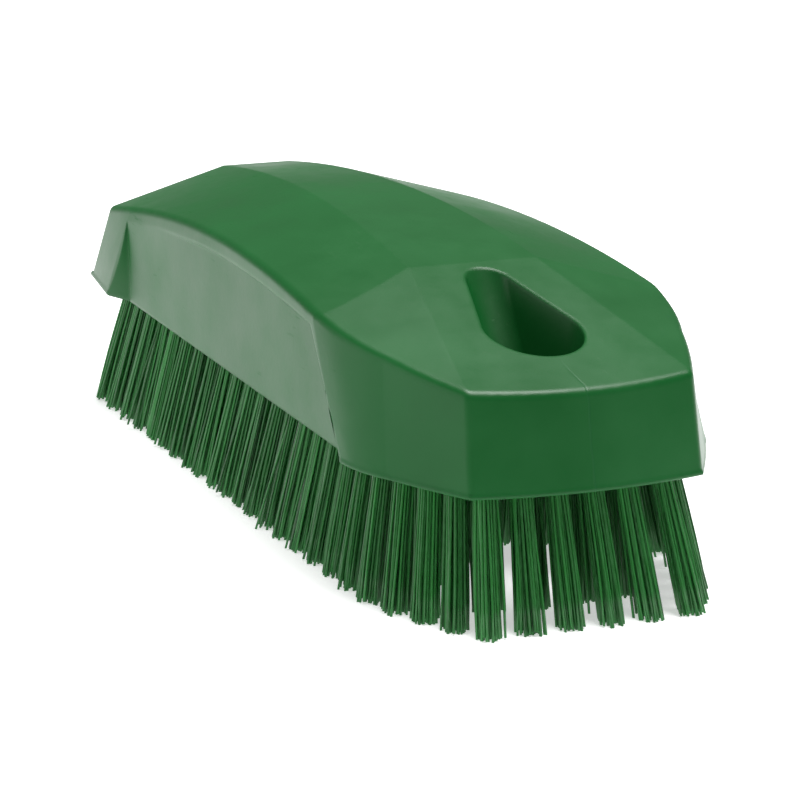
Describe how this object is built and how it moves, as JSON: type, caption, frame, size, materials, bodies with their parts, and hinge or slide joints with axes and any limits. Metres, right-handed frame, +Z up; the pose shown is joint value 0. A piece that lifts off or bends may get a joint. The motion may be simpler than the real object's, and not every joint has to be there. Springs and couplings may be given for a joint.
{
  "type": "scrubbing brush",
  "caption": "One-piece moulded hand brush: a faceted block with finger recesses and a teardrop hanging hole, filled with flared stiff filament tufts.",
  "frame": {"origin": "centre of the trimmed tip plane, under the middle of the brush", "axes": "+X along the brush towards the end with the hanging hole, +Y to its left, +Z up from the tips to the back of the block"},
  "size_m": [0.1218, 0.0515, 0.0385],
  "materials": {
    "moulded_plastic": "satin moulded polypropylene",
    "filament": "stiff extruded filament with trimmed ends",
    "anchor_metal": "flat-rolled wire"
  },
  "bodies": {
    "root": {"anchors_centre": "anchor_metal", "anchors_front": "anchor_metal", "anchors_left_1": "anchor_metal", "anchors_left_2": "anchor_metal", "anchors_left_3": "anchor_metal", "anchors_left_shoulder": "anchor_metal", "anchors_left_side": "anchor_metal", "anchors_rear": "anchor_metal", "anchors_right_1": "anchor_metal", "anchors_right_2": "anchor_metal", "anchors_right_3": "anchor_metal", "anchors_right_shoulder": "anchor_metal", "anchors_right_side": "anchor_metal", "anchors_second": "anchor_metal", "handle_block": "moulded_plastic", "tufts_centre": "filament", "tufts_front": "filament", "tufts_left_1": "filament", "tufts_left_2": "filament", "tufts_left_3": "filament", "tufts_left_shoulder": "filament", "tufts_left_side": "filament", "tufts_rear": "filament", "tufts_right_1": "filament", "tufts_right_2": "filament", "tufts_right_3": "filament", "tufts_right_shoulder": "filament", "tufts_right_side": "filament", "tufts_second": "filament"}
  },
  "joints": []
}
